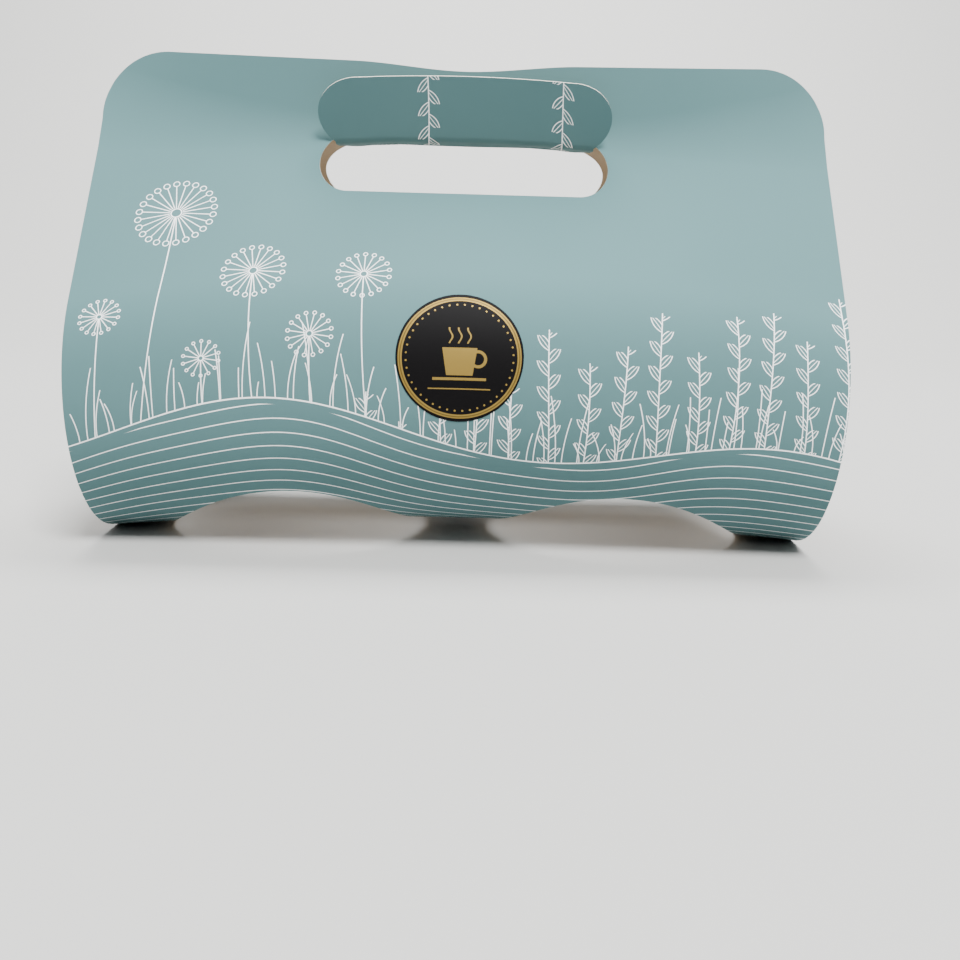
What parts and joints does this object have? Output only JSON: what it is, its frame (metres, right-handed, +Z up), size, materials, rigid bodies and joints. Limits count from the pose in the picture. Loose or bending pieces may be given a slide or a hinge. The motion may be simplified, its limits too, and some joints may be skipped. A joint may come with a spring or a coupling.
{
  "type": "cup carrier",
  "caption": "Cup carrier folded from one printed card sheet: a teardrop bend with round cup holes in its base, a hand hole at the top and a flap that hooks the halves together.",
  "frame": {"origin": "centre of the carrier's footprint, level with the lowest edges it stands on", "axes": "+X along the carrier's width, -Y towards the front panel with the flap and label, +Z up"},
  "size_m": [0.265, 0.1185, 0.1766],
  "materials": {
    "printed_card": "satin coated print outside, bare kraft inside",
    "label_paper": "gloss"
  },
  "bodies": {
    "root": {"carrier_sheet": "printed_card", "round_label": "label_paper"}
  },
  "joints": []
}
